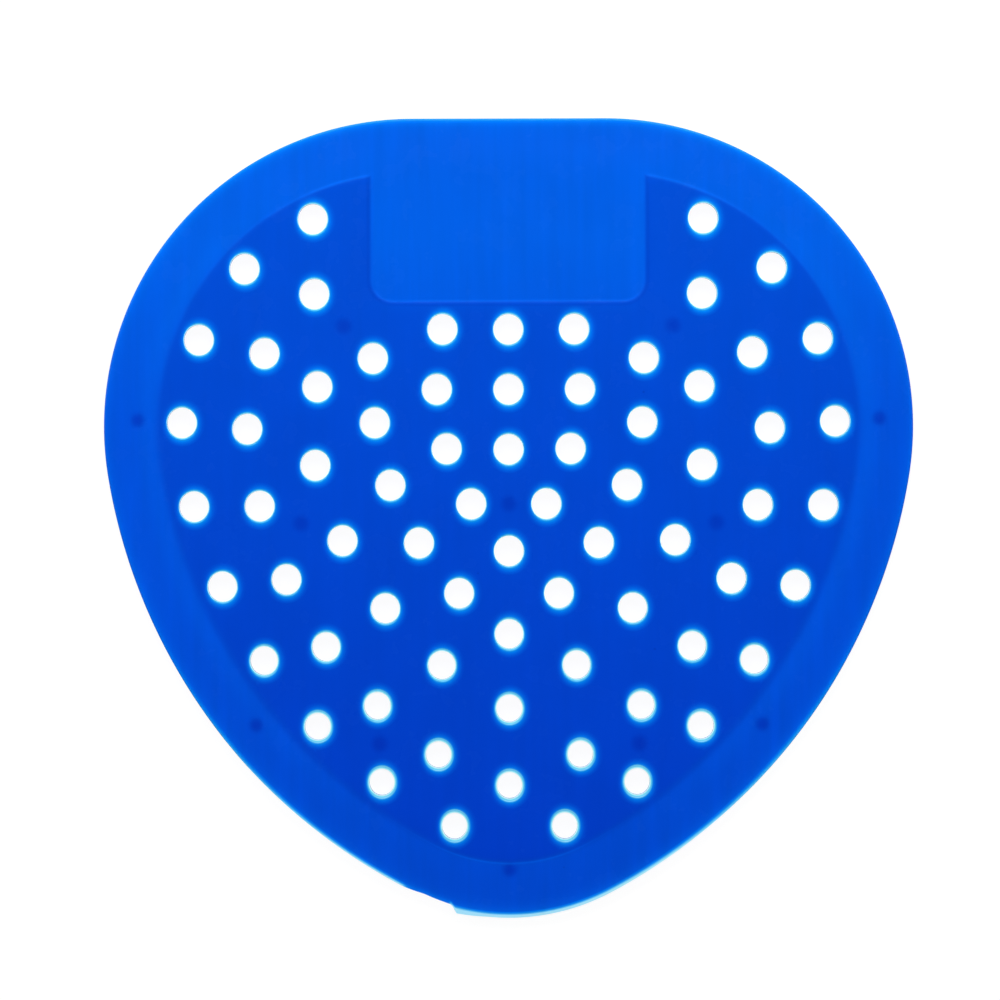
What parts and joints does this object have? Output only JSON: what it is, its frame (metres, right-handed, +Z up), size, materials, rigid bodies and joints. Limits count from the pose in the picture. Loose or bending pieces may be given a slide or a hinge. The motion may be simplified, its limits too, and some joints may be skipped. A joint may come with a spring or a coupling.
{
  "type": "urinal deodorizer screen",
  "caption": "Flat soft vinyl mat with a thin rim, a perforated panel, a plain tab under its flat top edge and short feet. It lies over a urinal's drain, freshens the air and keeps litter out.",
  "frame": {"origin": "under the middle of the outline, at the level that the feet stand on", "axes": "+X across the screen, +Y towards the flat top edge, +Z up out of the face with the raised panel"},
  "size_m": [0.18, 0.1774, 0.0036],
  "materials": {
    "vinyl": "smooth soft clear vinyl, deep blue, lighter where it is thin"
  },
  "bodies": {
    "root": {"screen": "vinyl"}
  },
  "joints": []
}
